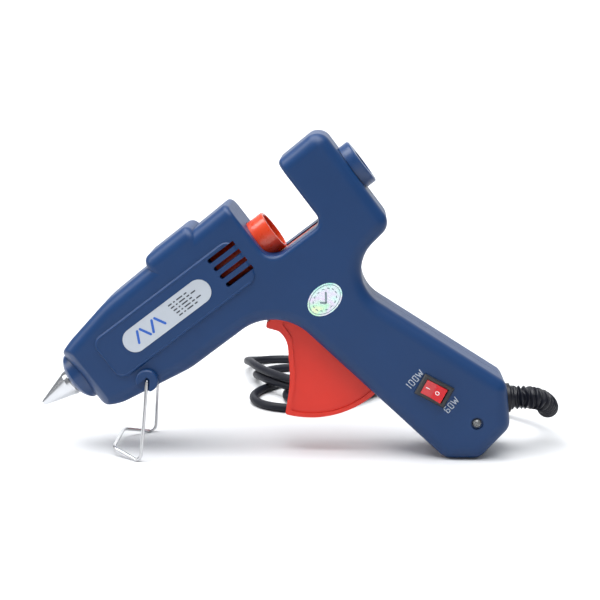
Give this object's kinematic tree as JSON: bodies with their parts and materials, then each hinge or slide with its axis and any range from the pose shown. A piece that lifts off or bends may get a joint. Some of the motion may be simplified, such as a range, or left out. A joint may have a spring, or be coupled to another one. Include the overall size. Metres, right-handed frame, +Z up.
{
  "type": "glue gun",
  "caption": "Hot glue gun with a trigger, a rocker switch for two heat settings, a folding wire stand and a mains cord lying in a loose coil.",
  "frame": {"origin": "middle of the gun's box, without boot, cord and plug, on the surface it stands on", "axes": "+X from the nozzle towards the handle's end, +Y away from the viewer across the gun, +Z up"},
  "size_m": [0.2384, 0.1894, 0.145],
  "materials": {
    "body_plastic": "fine matt texture",
    "ring_plastic": "satin",
    "nozzle_metal": "plated, polished",
    "chamber_metal": "cast",
    "heater_ceramic": "white ceramic plate",
    "spring_steel": "plain",
    "insulation": "matt sheet",
    "sleeve_rubber": "matt silicone rubber",
    "carriage_plastic": "glossy, slightly translucent",
    "pawl_steel": "zinc plated",
    "trigger_plastic": "satin",
    "pin_steel": "plain",
    "guide_plastic": "glossy",
    "stand_steel": "bright drawn wire",
    "switch_black": "satin",
    "rocker_red": "glossy",
    "terminal_brass": "plain",
    "lens_grey": "translucent smoke",
    "lamp_clear": "clear",
    "board_phenolic": "bare board",
    "diode_black": "moulded",
    "wire_white": "sleeved",
    "wire_blue": "insulated",
    "cord_black": "satin jacket",
    "label_silver": "silvered film",
    "sticker_film": "iridescent film",
    "screw_steel": "dark plated",
    "boot_rubber": "ribbed, satin",
    "plug_black": "moulded",
    "plug_pin_metal": "nickel plated"
  },
  "bodies": {
    "gun": {"left_shell": "body_plastic", "right_shell": "body_plastic", "nose_ring": "ring_plastic", "nozzle": "nozzle_metal", "melt_chamber": "chamber_metal", "heater": "heater_ceramic", "heater_clip": "spring_steel", "heat_shield": "insulation", "feed_sleeve": "sleeve_rubber", "sleeve_clamp": "spring_steel", "trigger_pin": "pin_steel", "trigger_spring": "spring_steel", "rear_guide_tube": "guide_plastic", "rear_entry_ring": "ring_plastic", "switch_body": "switch_black", "switch_terminals": "terminal_brass", "indicator_lens": "lens_grey", "indicator_lamp": "lamp_clear", "circuit_board": "board_phenolic", "diode": "diode_black", "heater_wires": "wire_white", "mains_wires": "wire_blue", "cord_end": "cord_black", "cord_clamp": "board_phenolic", "clamp_screws": "screw_steel", "rating_label": "label_silver", "oval_sticker": "sticker_film", "shell_screws": "screw_steel", "strain_relief": "boot_rubber", "cord": "cord_black", "cord_coil": "cord_black", "plug": "plug_black", "plug_pins": "plug_pin_metal"},
    "feed_carriage": {"feed_carriage": "carriage_plastic", "pawl_pin": "pin_steel"},
    "grip_pawl": {"grip_pawl": "pawl_steel"},
    "trigger": {"trigger": "trigger_plastic"},
    "switch_rocker": {"switch_rocker": "rocker_red"},
    "stand": {"stand": "stand_steel"}
  },
  "joints": [
    {"name": "trigger_pull", "type": "hinge", "parent": "gun", "child": "trigger", "pos_m": [0.01749, 0, 0.06092], "axis": [0, -1, 0], "range_deg": [0, 18], "stiffness_Nm_per_rad": 0.12, "springref_deg": -28.65, "deforming": ["trigger_spring"]},
    {"name": "carriage_slide", "type": "slide", "parent": "gun", "child": "feed_carriage", "axis": [-0.7945, 0, -0.6072], "range_m": [0, 0.0085]},
    {"name": "pawl_swing", "type": "hinge", "parent": "feed_carriage", "child": "grip_pawl", "pos_m": [-0.01933, 0, 0.10251], "axis": [0, 1, 0], "range_deg": [0, 9], "stiffness_Nm_per_rad": 0.004, "springref_deg": -22.92},
    {"name": "rocker_press", "type": "hinge", "parent": "gun", "child": "switch_rocker", "pos_m": [0.07223, -0.0165, 0.03252], "axis": [0.4635, 0, 0.8861], "range_deg": [0, 16]},
    {"name": "stand_fold", "type": "hinge", "parent": "gun", "child": "stand", "pos_m": [-0.05503, 0, 0.03608], "axis": [0, 1, 0], "range_deg": [0, 40]}
  ],
  "couplings": [
    {"joint": "carriage_slide", "follows": "trigger_pull", "m_per_rad": 0.027}
  ]
}
